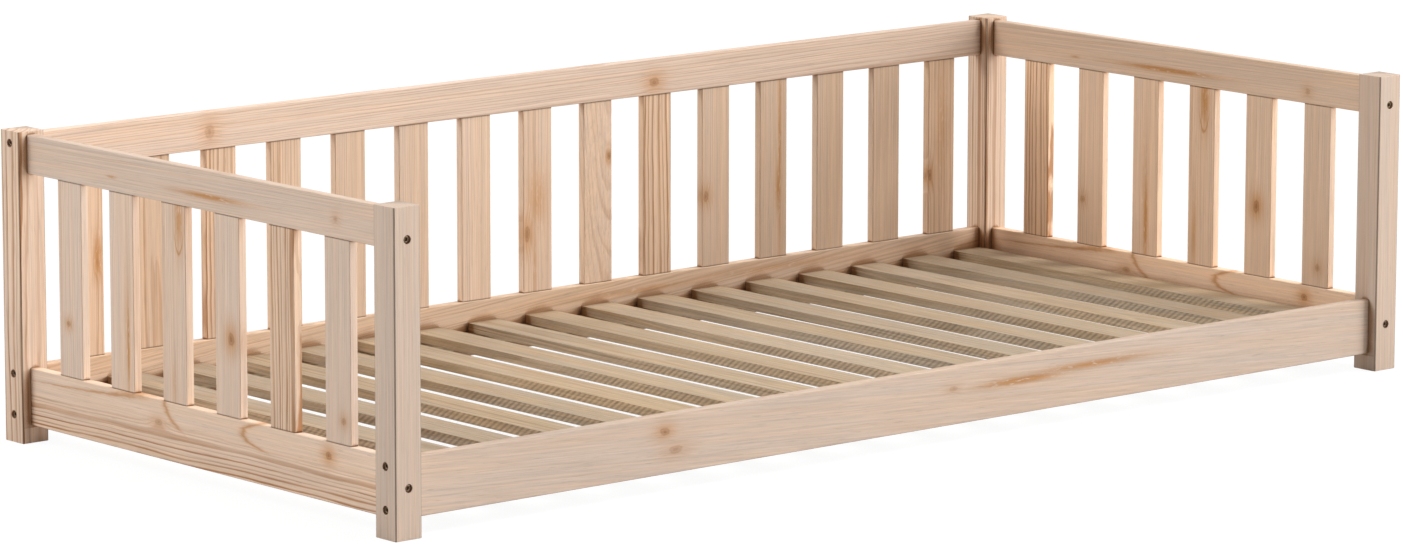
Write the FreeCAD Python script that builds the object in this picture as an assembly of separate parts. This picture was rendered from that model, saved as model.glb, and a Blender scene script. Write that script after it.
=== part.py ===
"""Floor bed in solid pine: four posts, three slatted sides, a low front rail and a slatted deck.

Millimetres. The origin is on the floor under the middle of the bed. +X runs from the left end to the
right end, +Y from the open front to the slatted back, +Z up.
"""
import FreeCAD
import Part

import math
import os

Vector = FreeCAD.Vector

# ---- Driving dimensions ------------------------------------------------------------------------

# Mattress that lies inside the rails, and the room left round it
mattress_length = 2000.0
mattress_width = 900.0
mattress_end_play = 4.5
mattress_side_play = 7.0

# Corner posts
post_side = 48.0
post_height = 486.0
post_edge_radius = 2.5
post_top_radius = 1.5

# Rails
rail_thickness = 18.0
rail_edge_radius = 2.0
top_rail_height = 60.0
top_rail_drop = 5.0            # from the top of the posts down to the rail
long_rail_height = 90.0
floor_clearance = 28.0

# Upright slats of the fence
fence_slat_width = 60.0
fence_slat_thickness = 14.0
fence_slat_edge_radius = 1.5
back_slat_count = 15
back_end_gap = 60.0
end_slat_count = 6
end_end_gap = 78.0

# Stub tenons of the upright slats
tenon_width = 46.0
tenon_thickness = 8.0
tenon_length = 12.0
tenon_play = 0.1
mortise_extra_depth = 0.5

# Deck
deck_slat_count = 17
deck_slat_width = 62.0
deck_slat_thickness = 15.0
deck_slat_edge_radius = 0.6
deck_drop = 34.0               # from the top of the long rails down to the deck
deck_slat_end_play = 2.0
deck_post_play = 1.0
ledge_height = 25.0
ledge_thickness = 18.0
ledge_edge_radius = 1.0
ledge_end_play = 1.0

# Connector bolts and the threaded inserts in the rail ends
bolt_radius = 3.0
bolt_head_radius = 6.0
bolt_head_height = 5.0
bolt_head_sink = 2.5           # the head's face lies this far inside the post
bolt_head_edge_radius = 0.8
bolt_tip_past_insert = 3.0
bolt_tip_chamfer = 0.8
bolt_hole_play = 0.25
socket_across_flats = 5.0
socket_depth = 3.0
counterbore_play = 0.5
counterbore_rim_chamfer = 0.4
insert_radius = 5.0
insert_length = 20.0
insert_thread_play = 0.1
insert_hole_play = 0.05
tip_room = 2.0

# Bolt heights, each from the edge of the rail that it holds
long_rail_low_bolt = 15.5      # up from the bottom edge
long_rail_high_bolt = 10.5     # down from the top edge
end_bottom_rail_bolt = 48.0    # up from the bottom edge
end_top_rail_bolt = 17.0       # up from the bottom edge
back_top_rail_bolt = 14.0      # down from the top edge

# Wood screws that hold the deck slats and the ledges
screw_length = 30.0
screw_radius = 2.0
screw_head_radius = 3.75
screw_head_height = 2.0
screw_point_length = 4.0
screw_hole_play = 0.1
screw_cross_width = 0.9
screw_cross_length = 4.4
screw_cross_depth = 1.4
slat_screw_sink = 7.0
ledge_screw_sink = 0.5
ledge_screw_count = 6          # in each ledge, spread over the gaps between the deck slats

# ---- Derived sizes -----------------------------------------------------------------------------

rail_inset = (post_side - rail_thickness) / 2
bed_length = mattress_length + 2 * (mattress_end_play + rail_thickness + rail_inset)
bed_width = mattress_width + 2 * (mattress_side_play + rail_thickness + rail_inset)

post_x = bed_length / 2 - post_side / 2          # middle of a post, from the middle of the bed
post_y = bed_width / 2 - post_side / 2
post_inner_x = bed_length / 2 - post_side
post_inner_y = bed_width / 2 - post_side
rail_inner_y = post_y - rail_thickness / 2

top_rail_top = post_height - top_rail_drop
top_rail_bottom = top_rail_top - top_rail_height
long_rail_bottom = floor_clearance
long_rail_top = long_rail_bottom + long_rail_height

deck_top = long_rail_top - deck_drop
ledge_top = deck_top - deck_slat_thickness
ledge_bottom = ledge_top - ledge_height
ledge_inner_y = rail_inner_y - ledge_thickness

counterbore_radius = bolt_head_radius + counterbore_play
counterbore_depth = bolt_head_height + bolt_head_sink
bolt_hole_radius = bolt_radius + bolt_hole_play
bolt_shank_length = post_side - counterbore_depth + insert_length + bolt_tip_past_insert
insert_hole_radius = insert_radius + insert_hole_play
screw_hole_radius = screw_radius + screw_hole_play

same_place = 0.001             # points nearer than this count as one place

X_AXIS = Vector(1, 0, 0)
Y_AXIS = Vector(0, 1, 0)
Z_AXIS = Vector(0, 0, 1)

SIDES = {"left": -1, "right": 1}
FACES = {"front": -1, "back": 1}


# ---- Shapes ------------------------------------------------------------------------------------

def evenly(first, last, count):
    """Positions of a row of equal pieces, from the first to the last."""
    if count == 1:
        return [(first + last) / 2]
    return [first + (last - first) * i / (count - 1) for i in range(count)]


def evenly_picked(places, count):
    """As many of a row of places as asked for, spread from its first to its last."""
    count = min(count, len(places))
    return [places[round(index)] for index in evenly(0, len(places) - 1, count)]


def edges_along(shape, axis):
    """The straight edges of a box that run along one axis."""
    found = []
    for edge in shape.Edges:
        run = edge.Vertexes[1].Point - edge.Vertexes[0].Point
        if abs(run.dot(axis)) > 0.999 * run.Length:
            found.append(edge)
    return found


def board(centre, size, axis, edge_radius):
    """A planed board round a centre, its four long edges eased."""
    corner = centre - size * 0.5
    box = Part.makeBox(size.x, size.y, size.z, corner)
    thinnest = min(size.x, size.y, size.z)
    return box.makeFillet(min(edge_radius, 0.4 * thinnest), edges_along(box, axis))


def cylinder(start, direction, radius, length):
    return Part.makeCylinder(radius, length, start, direction)


def turned(start, direction, shape):
    """Puts a shape that was made upwards from the origin at a start, along a direction."""
    moved = shape.copy()
    moved.Placement = FreeCAD.Placement(start, FreeCAD.Rotation(Z_AXIS, direction))
    return moved


def connector_bolt():
    """Hex socket bolt: the face of its head is at the origin, and its shank runs up +Z."""
    head = Part.makeCylinder(bolt_head_radius, bolt_head_height)
    rim = [edge for edge in head.Edges if edge.BoundBox.ZMax < same_place and edge.Closed]
    head = head.makeFillet(bolt_head_edge_radius, rim)
    shank = Part.makeCylinder(bolt_radius, bolt_shank_length, Vector(0, 0, bolt_head_height))
    tip_z = bolt_head_height + bolt_shank_length
    tip = [edge for edge in shank.Edges if edge.BoundBox.ZMin > tip_z - same_place]
    shank = shank.makeChamfer(bolt_tip_chamfer, tip)
    corner = socket_across_flats / math.sqrt(3)
    points = [Vector(corner * math.cos(math.radians(60 * i)), corner * math.sin(math.radians(60 * i)), 0)
              for i in range(6)]
    hexagon = Part.Face(Part.makePolygon(points + points[:1]))
    return head.fuse(shank).removeSplitter().cut(hexagon.extrude(Vector(0, 0, socket_depth)))


def threaded_insert():
    """Threaded sleeve, from its mouth at the origin up +Z."""
    sleeve = Part.makeCylinder(insert_radius, insert_length)
    return sleeve.cut(Part.makeCylinder(bolt_radius + insert_thread_play, insert_length))


def wood_screw():
    """Countersunk screw: its flat face is at the origin, and its point is up +Z."""
    neck_z = screw_head_height
    point_z = screw_length - screw_point_length
    profile = [Vector(0, 0, 0), Vector(screw_head_radius, 0, 0), Vector(screw_radius, 0, neck_z),
               Vector(screw_radius, 0, point_z), Vector(0, 0, screw_length)]
    face = Part.Face(Part.makePolygon(profile + profile[:1]))
    screw = face.revolve(Vector(0, 0, 0), Z_AXIS, 360)
    half_length = screw_cross_length / 2
    half_width = screw_cross_width / 2
    slot = Part.makeBox(screw_cross_length, screw_cross_width, screw_cross_depth,
                        Vector(-half_length, -half_width, 0))
    other = Part.makeBox(screw_cross_width, screw_cross_length, screw_cross_depth,
                         Vector(-half_width, -half_length, 0))
    return screw.cut(slot.fuse(other))


def screw_hole(start, direction, sink, depth):
    """Hole for one wood screw: a straight sink, the countersink and the shank's hole."""
    mouth_radius = screw_head_radius + screw_hole_play
    seat = start + direction * sink
    hole = cylinder(start, direction, mouth_radius, sink)
    cone = Part.makeCone(mouth_radius, screw_hole_radius, screw_head_height, seat, direction)
    shank = cylinder(seat, direction, screw_hole_radius, depth - sink)
    return hole.fuse([cone, shank])


# ---- Bolted joints -----------------------------------------------------------------------------

class Joint:
    """One connector bolt, which runs through a post into the end of a rail."""

    def __init__(self, post, rail, outer_face, direction):
        self.post = post
        self.rail = rail
        self.outer_face = outer_face
        self.direction = direction
        self.rail_end = outer_face + direction * post_side

    def post_hole(self):
        rim_radius = counterbore_radius + counterbore_rim_chamfer
        rim = Part.makeCone(rim_radius, counterbore_radius, counterbore_rim_chamfer, self.outer_face,
                            self.direction)
        counterbore = cylinder(self.outer_face, self.direction, counterbore_radius, counterbore_depth)
        through = cylinder(self.outer_face, self.direction, bolt_hole_radius, post_side)
        return counterbore.fuse([rim, through])

    def rail_hole(self):
        insert = cylinder(self.rail_end, self.direction, insert_hole_radius, insert_length)
        tip = cylinder(self.rail_end, self.direction, bolt_hole_radius,
                       insert_length + bolt_tip_past_insert + tip_room)
        return insert.fuse(tip)

    def bolt(self):
        return turned(self.outer_face + self.direction * bolt_head_sink, self.direction, connector_bolt())

    def insert(self):
        return turned(self.rail_end, self.direction, threaded_insert())


def corner_joints(side, face):
    """The joints of one corner post, on its end face and on its long face."""
    post = f"{face}_{side}_post"
    side_sign = SIDES[side]
    face_sign = FACES[face]
    low = long_rail_bottom + long_rail_low_bolt
    high = long_rail_top - long_rail_high_bolt
    if face == "front":
        along = [("front_rail", low), ("front_rail", high)]
    else:
        along = [("back_bottom_rail", low), ("back_bottom_rail", high),
                 ("back_top_rail", top_rail_top - back_top_rail_bolt)]
    across = [(f"{side}_end_bottom_rail", long_rail_bottom + end_bottom_rail_bolt),
              (f"{side}_end_top_rail", top_rail_bottom + end_top_rail_bolt)]
    joints = []
    for rail, height in along:
        outer = Vector(side_sign * bed_length / 2, face_sign * post_y, height)
        joints.append(Joint(post, rail, outer, X_AXIS * -side_sign))
    for rail, height in across:
        outer = Vector(side_sign * post_x, face_sign * bed_width / 2, height)
        joints.append(Joint(post, rail, outer, Y_AXIS * -face_sign))
    return joints


# ---- Wooden pieces -----------------------------------------------------------------------------

def make_post(side, face):
    centre = Vector(SIDES[side] * post_x, FACES[face] * post_y, post_height / 2)
    post = board(centre, Vector(post_side, post_side, post_height), Z_AXIS, post_edge_radius)
    top = [edge for edge in post.Edges if edge.BoundBox.ZMin > post_height - same_place]
    return post.makeFillet(min(post_top_radius, post_edge_radius), top)


def make_long_rail(face, bottom, top):
    """A rail along the bed, between two posts."""
    centre = Vector(0, FACES[face] * post_y, (bottom + top) / 2)
    size = Vector(2 * post_inner_x, rail_thickness, top - bottom)
    return board(centre, size, X_AXIS, rail_edge_radius)


def make_end_rail(side, bottom, top):
    """A rail across one end of the bed, between two posts."""
    centre = Vector(SIDES[side] * post_x, 0, (bottom + top) / 2)
    size = Vector(rail_thickness, 2 * post_inner_y, top - bottom)
    return board(centre, size, Y_AXIS, rail_edge_radius)


def upright_size(width, thickness, height, along):
    """Size of an upright piece whose width lies along one axis."""
    if along == X_AXIS:
        return Vector(width, thickness, height)
    return Vector(thickness, width, height)


def upright_block(x, y, bottom, top, width, thickness, along):
    """Plain upright block from a bottom height to a top height."""
    size = upright_size(width, thickness, top - bottom, along)
    corner = Vector(x - size.x / 2, y - size.y / 2, bottom)
    return Part.makeBox(size.x, size.y, size.z, corner)


def make_fence_slat(x, y, along):
    """An upright slat with a stub tenon at each end."""
    height = top_rail_bottom - long_rail_top
    centre = Vector(x, y, long_rail_top + height / 2)
    size = upright_size(fence_slat_width, fence_slat_thickness, height, along)
    body = board(centre, size, Z_AXIS, fence_slat_edge_radius)
    tenon = upright_block(x, y, long_rail_top - tenon_length, top_rail_bottom + tenon_length,
                          tenon_width, tenon_thickness, along)
    return body.fuse(tenon).removeSplitter()


def mortises(x, y, along):
    """The cuts that one upright slat needs in the rail below it and the rail above it."""
    depth = tenon_length + mortise_extra_depth
    width = tenon_width + 2 * tenon_play
    thickness = tenon_thickness + 2 * tenon_play
    low = upright_block(x, y, long_rail_top - depth, long_rail_top, width, thickness, along)
    high = upright_block(x, y, top_rail_bottom, top_rail_bottom + depth, width, thickness, along)
    return low, high


def make_ledge(face):
    sign = FACES[face]
    centre = Vector(0, sign * (rail_inner_y - ledge_thickness / 2), (ledge_bottom + ledge_top) / 2)
    size = Vector(2 * (post_inner_x - ledge_end_play), ledge_thickness, ledge_height)
    return board(centre, size, X_AXIS, ledge_edge_radius)


def make_deck_slat(x):
    centre = Vector(x, 0, deck_top - deck_slat_thickness / 2)
    size = Vector(deck_slat_width, 2 * (rail_inner_y - deck_slat_end_play), deck_slat_thickness)
    return board(centre, size, Y_AXIS, deck_slat_edge_radius)


# ---- Assembly ----------------------------------------------------------------------------------

def build_frame(nodes, cuts):
    """Posts and rails."""
    for side in SIDES:
        for face in FACES:
            nodes[f"{face}_{side}_post"] = make_post(side, face)
        nodes[f"{side}_end_bottom_rail"] = make_end_rail(side, long_rail_bottom, long_rail_top)
        nodes[f"{side}_end_top_rail"] = make_end_rail(side, top_rail_bottom, top_rail_top)
    nodes["front_rail"] = make_long_rail("front", long_rail_bottom, long_rail_top)
    nodes["back_bottom_rail"] = make_long_rail("back", long_rail_bottom, long_rail_top)
    nodes["back_top_rail"] = make_long_rail("back", top_rail_bottom, top_rail_top)
    for name in nodes:
        cuts[name] = []


def build_fence(nodes, cuts):
    """Upright slats, and their mortises in the rails."""
    last_back = post_inner_x - back_end_gap - fence_slat_width / 2
    for number, x in enumerate(evenly(-last_back, last_back, back_slat_count), 1):
        nodes[f"back_slat_{number:02d}"] = make_fence_slat(x, post_y, X_AXIS)
        low, high = mortises(x, post_y, X_AXIS)
        cuts["back_bottom_rail"].append(low)
        cuts["back_top_rail"].append(high)
    last_end = post_inner_y - end_end_gap - fence_slat_width / 2
    for side, sign in SIDES.items():
        for number, y in enumerate(evenly(-last_end, last_end, end_slat_count), 1):
            nodes[f"{side}_end_slat_{number}"] = make_fence_slat(sign * post_x, y, Y_AXIS)
            low, high = mortises(sign * post_x, y, Y_AXIS)
            cuts[f"{side}_end_bottom_rail"].append(low)
            cuts[f"{side}_end_top_rail"].append(high)


def build_deck(nodes, cuts):
    """Ledges, deck slats and the screws that hold them."""
    screws = []
    last = post_inner_x - deck_post_play - deck_slat_width / 2
    rows = evenly(-last, last, deck_slat_count)
    for number, x in enumerate(rows, 1):
        nodes[f"deck_slat_{number:02d}"] = make_deck_slat(x)
        cuts[f"deck_slat_{number:02d}"] = []
    gaps = [(a + b) / 2 for a, b in zip(rows, rows[1:])]
    for face, sign in FACES.items():
        ledge = f"{face}_slat_ledge"
        rail = "front_rail" if face == "front" else "back_bottom_rail"
        nodes[ledge] = make_ledge(face)
        cuts[ledge] = []
        ledge_y = sign * (rail_inner_y - ledge_thickness / 2)
        for number, x in enumerate(rows, 1):
            start = Vector(x, ledge_y, ledge_bottom)
            hole = screw_hole(start, Z_AXIS, slat_screw_sink, slat_screw_sink + screw_length)
            cuts[ledge].append(hole)
            cuts[f"deck_slat_{number:02d}"].append(hole)
            screws.append(turned(start + Z_AXIS * slat_screw_sink, Z_AXIS, wood_screw()))
        for x in evenly_picked(gaps, ledge_screw_count):
            start = Vector(x, sign * ledge_inner_y, (ledge_bottom + ledge_top) / 2)
            outward = Y_AXIS * sign
            hole = screw_hole(start, outward, ledge_screw_sink, ledge_screw_sink + screw_length)
            cuts[ledge].append(hole)
            cuts[rail].append(hole)
            screws.append(turned(start + outward * ledge_screw_sink, outward, wood_screw()))
    nodes["wood_screws"] = Part.makeCompound(screws)


def build_bolts(nodes, cuts):
    """Connector bolts and inserts, and their holes in the posts and rails."""
    joints = [joint for side in SIDES for face in FACES for joint in corner_joints(side, face)]
    for joint in joints:
        cuts[joint.post].append(joint.post_hole())
        cuts[joint.rail].append(joint.rail_hole())
    nodes["connector_bolts"] = Part.makeCompound([joint.bolt() for joint in joints])
    nodes["threaded_inserts"] = Part.makeCompound([joint.insert() for joint in joints])


def main():
    nodes = {}
    cuts = {}
    build_frame(nodes, cuts)
    build_fence(nodes, cuts)
    build_deck(nodes, cuts)
    build_bolts(nodes, cuts)
    for name, tools in cuts.items():
        if tools:
            nodes[name] = nodes[name].cut(tools)
    os.makedirs("parts", exist_ok=True)
    for name, shape in nodes.items():
        shape.exportStep(f"parts/{name}.step")
        print(f"{name}: {len(shape.Solids)} solids, valid {shape.isValid()}")
    print(f"{len(nodes)} nodes, bed {bed_length:.1f} x {bed_width:.1f} x {post_height:.1f} mm")


main()
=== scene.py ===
"""Slatted pine floor bed: its boards, bolts and studio, modelled round the frame's pieces.

Metres, as in the frame: +X runs from the left end to the right end, +Y from the open front to the
slatted back, +Z up. Distances on a board's face are in millimetres.
"""
import math
import random

import bmesh
import bpy
from mathutils import Matrix, Vector


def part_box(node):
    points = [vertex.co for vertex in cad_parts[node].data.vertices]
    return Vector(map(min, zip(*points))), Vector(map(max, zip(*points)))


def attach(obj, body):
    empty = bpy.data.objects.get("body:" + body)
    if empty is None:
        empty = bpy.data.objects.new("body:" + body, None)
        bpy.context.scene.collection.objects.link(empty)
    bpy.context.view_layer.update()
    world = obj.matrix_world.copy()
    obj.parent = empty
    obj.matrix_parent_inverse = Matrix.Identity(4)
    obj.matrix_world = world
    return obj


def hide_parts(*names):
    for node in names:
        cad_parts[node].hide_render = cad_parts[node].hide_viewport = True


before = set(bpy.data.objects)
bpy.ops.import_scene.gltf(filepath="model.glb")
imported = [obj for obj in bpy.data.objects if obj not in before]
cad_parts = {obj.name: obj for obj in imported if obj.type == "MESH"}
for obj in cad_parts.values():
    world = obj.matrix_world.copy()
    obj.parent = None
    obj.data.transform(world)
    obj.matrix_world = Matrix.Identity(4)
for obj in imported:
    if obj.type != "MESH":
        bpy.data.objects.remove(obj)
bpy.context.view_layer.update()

bl_info = {
    "name": "Pine Floor Bed",
    "version": (1, 0, 0),
    "blender": (4, 5, 0),
    "location": "3D View > Sidebar > Floor Bed",
    "description": "Boards, bolts and studio of a slatted pine floor bed",
    "category": "Add Mesh",
}

MM = 0.001
X, Y, Z = Vector((1, 0, 0)), Vector((0, 1, 0)), Vector((0, 0, 1))
SIDES = ("left", "right")
FACES = ("front", "back")
FLAT_ANGLE = math.radians(35)
COLOUR = {"subtype": "COLOR", "size": 3, "min": 0.0, "max": 1.0}


# ---- What a user would change ------------------------------------------------------------------

class BoardSizes(bpy.types.PropertyGroup):
    """Edges and joints of the boards."""
    post_edge: bpy.props.FloatProperty(
        name="Post Edge", description="Rounding of a post's long edges", default=2.5 * MM,
        unit="LENGTH")
    rail_edge: bpy.props.FloatProperty(
        name="Rail Edge", description="Rounding of a rail's long edges", default=2.0 * MM,
        unit="LENGTH")
    slat_edge: bpy.props.FloatProperty(
        name="Slat Edge", description="Rounding of a fence slat's long edges", default=1.5 * MM,
        unit="LENGTH")
    deck_edge: bpy.props.FloatProperty(
        name="Deck Edge", description="Rounding of a deck slat's long edges", default=0.7 * MM,
        unit="LENGTH")
    end_edge: bpy.props.FloatProperty(
        name="End Edge", description="Easing of the ends of the boards", default=0.8 * MM,
        unit="LENGTH")
    tenon_width: bpy.props.FloatProperty(
        name="Tenon Width", description="Width of a slat's stub tenon", default=46 * MM,
        unit="LENGTH")
    tenon_thickness: bpy.props.FloatProperty(
        name="Tenon Thickness", description="Thickness of a slat's stub tenon", default=8 * MM,
        unit="LENGTH")
    joint_play: bpy.props.FloatProperty(
        name="Joint Play", description="Play round a tenon in its mortise", default=0.1 * MM,
        unit="LENGTH")
    mortise_spare: bpy.props.FloatProperty(
        name="Mortise Spare", description="Depth of a mortise past its tenon", default=0.5 * MM,
        unit="LENGTH")


class SawMarks(bpy.types.PropertyGroup):
    """Coarse saw marks on the narrow sides of the deck slats."""
    pitch: bpy.props.FloatProperty(
        name="Pitch", description="Distance from one saw mark to the next", default=12.9 * MM,
        unit="LENGTH")
    depth: bpy.props.FloatProperty(
        name="Depth", description="Depth of a saw mark", default=0.7 * MM, unit="LENGTH")
    lean: bpy.props.FloatProperty(
        name="Lean", description="How far a mark leans to the front over its height, as a slope",
        default=1.4)
    start: bpy.props.FloatProperty(
        name="Start", description="Share of the slat, from the back, before the marks begin",
        default=0.40, subtype="FACTOR")


class BoltSizes(bpy.types.PropertyGroup):
    """Connector bolts and the recesses that hold their heads."""
    head_radius: bpy.props.FloatProperty(
        name="Head Radius", description="Radius of a bolt's head", default=6.0 * MM, unit="LENGTH")
    head_height: bpy.props.FloatProperty(
        name="Head Height", description="Height of a bolt's head", default=5.0 * MM, unit="LENGTH")
    head_play: bpy.props.FloatProperty(
        name="Head Play", description="Room round the head in its recess", default=0.5 * MM,
        unit="LENGTH")
    socket_radius: bpy.props.FloatProperty(
        name="Socket Radius", description="Corner radius of the hexagon socket", default=2.9 * MM,
        unit="LENGTH")
    socket_depth: bpy.props.FloatProperty(
        name="Socket Depth", description="Depth of the hexagon socket", default=3.0 * MM,
        unit="LENGTH")
    shank_radius: bpy.props.FloatProperty(
        name="Shank Radius", description="Radius of a bolt's shank", default=3.0 * MM,
        unit="LENGTH")
    shank_play: bpy.props.FloatProperty(
        name="Shank Play", description="Room round the shank in the post", default=0.25 * MM,
        unit="LENGTH")
    rim_chamfer: bpy.props.FloatProperty(
        name="Rim Chamfer", description="Chamfer of a recess where it opens", default=0.4 * MM,
        unit="LENGTH")


class Finishes(bpy.types.PropertyGroup):
    """Colours of the wood and the metal."""
    rose: bpy.props.FloatVectorProperty(
        name="Rose", description="Cool early wood of the frame", default=(0.690, 0.545, 0.445),
        **COLOUR)
    straw: bpy.props.FloatVectorProperty(
        name="Straw", description="Warm early wood of the frame", default=(0.780, 0.545, 0.365),
        **COLOUR)
    late: bpy.props.FloatVectorProperty(
        name="Late Wood", description="Ring lines of the frame", default=(0.400, 0.185, 0.075),
        **COLOUR)
    resin: bpy.props.FloatVectorProperty(
        name="Resin", description="Resin stains and the wood round a knot",
        default=(0.540, 0.270, 0.105), **COLOUR)
    knot: bpy.props.FloatVectorProperty(
        name="Knot", description="Knots", default=(0.290, 0.125, 0.050), **COLOUR)
    deck_cool: bpy.props.FloatVectorProperty(
        name="Deck Cool", description="Cool early wood of the deck", default=(0.475, 0.383, 0.285),
        **COLOUR)
    deck_warm: bpy.props.FloatVectorProperty(
        name="Deck Warm", description="Warm early wood of the deck", default=(0.525, 0.385, 0.240),
        **COLOUR)
    deck_late: bpy.props.FloatVectorProperty(
        name="Deck Late Wood", description="Ring lines of the deck", default=(0.300, 0.200, 0.110),
        **COLOUR)
    bronze: bpy.props.FloatVectorProperty(
        name="Bronze", description="Plating of the bolts", default=(0.150, 0.102, 0.065), **COLOUR)
    zinc: bpy.props.FloatVectorProperty(
        name="Zinc", description="Plating of the screws and inserts", default=(0.560, 0.470, 0.260),
        **COLOUR)


class Studio(bpy.types.PropertyGroup):
    """Camera and light."""
    eye: bpy.props.FloatVectorProperty(
        name="Eye", description="Place of the camera", default=(-6.6301, -7.6741, 1.9838),
        subtype="TRANSLATION", size=3)
    heading: bpy.props.FloatProperty(
        name="Heading", description="Direction of view, from +Y towards +X",
        default=math.radians(40.654), subtype="ANGLE")
    dip: bpy.props.FloatProperty(
        name="Dip", description="Direction of view below the horizon", default=math.radians(9.939),
        subtype="ANGLE")
    roll: bpy.props.FloatProperty(
        name="Roll", description="Turn of the camera about its view", default=math.radians(0.076),
        subtype="ANGLE")
    lens: bpy.props.FloatProperty(
        name="Lens", description="Focal length in millimetres, for a film 36 mm wide",
        default=166.43)
    sky: bpy.props.FloatProperty(
        name="Sky", description="Strength of the even light all round", default=0.06)
    low_key: bpy.props.FloatProperty(
        name="Low Key", description="Power of the low lamp at the front right", default=3850.0,
        unit="POWER")
    high_key: bpy.props.FloatProperty(
        name="High Key", description="Power of the high lamp at the front right", default=4500.0,
        unit="POWER")
    fill: bpy.props.FloatProperty(
        name="Fill", description="Power of the lamp at the back left", default=3750.0, unit="POWER")
    lamp_distance: bpy.props.FloatProperty(
        name="Lamp Distance", description="Distance of the lamps", default=25.0, unit="LENGTH")
    lamp_size: bpy.props.FloatProperty(
        name="Lamp Size", description="Width of the lamps", default=14.0, unit="LENGTH")


# ---- Modelling ---------------------------------------------------------------------------------

TOUCHING = 0.01 * MM      # points closer than this lie on one face
SKIN = 0.1 * MM           # points this close to a board's side take its shade
ALIGNED = 0.999           # share of an edge's length that has to lie along an axis
END_SCORE = 3.0           # from a board's end to the line scored round it, in end roundings
END_SHADE = 2.5           # from a board's end to where its joint's shadow stops, in end roundings


def deselect():
    bpy.ops.object.select_all(action="DESELECT")


def only(piece):
    """Makes a piece the one selected and active object."""
    deselect()
    piece.select_set(True)
    bpy.context.view_layer.objects.active = piece


def enter(mode):
    bpy.ops.object.mode_set(mode=mode)


def settle():
    """Puts the active object's place into its mesh."""
    bpy.ops.object.transform_apply(location=True, rotation=True, scale=True)


def add_block(low, high):
    deselect()
    bpy.ops.mesh.primitive_cube_add(size=1, location=(low + high) / 2)
    block = bpy.context.object
    block.scale = high - low
    settle()
    return block


def pick(piece, *tests):
    """In edit mode, selects the edges that pass every test."""
    bpy.ops.mesh.select_mode(type="EDGE")
    bpy.ops.mesh.select_all(action="DESELECT")
    for edge in bmesh.from_edit_mesh(piece.data).edges:
        if all(test(edge) for test in tests):
            edge.select_set(True)
    bmesh.update_edit_mesh(piece.data)


def runs_along(axis):
    """Test for edges that run along an axis."""
    def test(edge):
        run = edge.verts[1].co - edge.verts[0].co
        return abs(run.dot(axis)) > ALIGNED * run.length
    return test


def lies_at(axis, level):
    """Test for edges that lie at one level along an axis."""
    return lambda edge: all(abs(vertex.co.dot(axis) - level) < TOUCHING for vertex in edge.verts)


def longer_than(length):
    """Test for edges longer than a length."""
    return lambda edge: edge.calc_length() > length


def round_picked(radius, segments):
    bpy.ops.mesh.bevel(offset=radius, segments=segments, affect="EDGES")


def cut_board(name, low, high, axis, edge, end_edge, segments=3):
    """A planed board between two corners, its long edges and its ends eased."""
    board = add_block(low, high)
    board.name = name
    enter("EDIT")
    pick(board, runs_along(axis))
    round_picked(edge, segments)
    first, last = low.dot(axis), high.dot(axis)
    for level in (first, last):
        pick(board, lies_at(axis, level))
        round_picked(end_edge, segments=2)
    for level in (first + END_SCORE * end_edge, last - END_SCORE * end_edge):
        bpy.ops.mesh.select_all(action="SELECT")
        bpy.ops.mesh.bisect(plane_co=axis * level, plane_no=axis)
    enter("OBJECT")
    return board


def turned(name, steps, vertices=48):
    """A round shape along +Z, from its (height, radius) steps."""
    deselect()
    height, radius = steps[0]
    bpy.ops.mesh.primitive_circle_add(
        vertices=vertices, radius=radius, fill_type="NGON", location=(0, 0, height))
    shape = bpy.context.object
    shape.name = name
    settle()
    enter("EDIT")
    bpy.ops.mesh.select_mode(type="FACE")
    bpy.ops.mesh.select_all(action="SELECT")
    for next_height, next_radius in steps[1:]:
        rise, grow = next_height - height, next_radius / radius
        bpy.ops.mesh.extrude_region_move(TRANSFORM_OT_translate={"value": (0, 0, rise)})
        bpy.ops.transform.resize(value=(grow, grow, 1), center_override=(0, 0, next_height))
        height, radius = next_height, next_radius
    bpy.ops.mesh.select_all(action="SELECT")
    bpy.ops.mesh.normals_make_consistent(inside=False)
    enter("OBJECT")
    return shape


def copy_of(piece, name, change):
    """A copy with its own mesh, moved or turned in its mesh."""
    twin = piece.copy()
    twin.data = piece.data.copy()
    twin.data.transform(change)
    twin.name = name
    bpy.context.scene.collection.objects.link(twin)
    return twin


def stand(pattern, start, direction):
    """A copy of a shape along +Z, stood at a start along a direction."""
    turn = Z.rotation_difference(direction).to_matrix().to_4x4()
    return copy_of(pattern, pattern.name, Matrix.Translation(start) @ turn)


def joined(pieces):
    """Joins pieces into the first of them."""
    only(pieces[0])
    for piece in pieces:
        piece.select_set(True)
    if len(pieces) > 1:
        bpy.ops.object.join()
    return bpy.context.object


def combine(piece, *tools, operation="DIFFERENCE"):
    """Cuts pieces away from a piece, or unites them with it."""
    for tool in tools:
        only(piece)
        cut = piece.modifiers.new("cut", "BOOLEAN")
        cut.operation = operation
        cut.solver = "EXACT"
        cut.use_self = True
        cut.object = tool
        bpy.ops.object.modifier_apply(modifier=cut.name)
        bpy.data.objects.remove(tool)


def smooth(piece):
    """Smooth round edges beside flat faces."""
    only(piece)
    bpy.ops.object.shade_smooth_by_angle(angle=FLAT_ANGLE)


def complete(board, node, face, wide, look="planed_pine"):
    """Gives a board its wood, its smooth edges, its finish and its place in the bed."""
    dress(board, face, sawn_like(node, wide))
    smooth(board)
    weighted = board.modifiers.new("weighted", "WEIGHTED_NORMAL")
    weighted.keep_sharp = True
    bpy.ops.object.modifier_apply(modifier=weighted.name)
    coat(board, look)
    install(board, node)


def install(piece, node):
    """Gives a finished piece its place in the bed."""
    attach(piece, "root")
    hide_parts(node)


# ---- How each board was sawn -------------------------------------------------------------------

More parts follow.
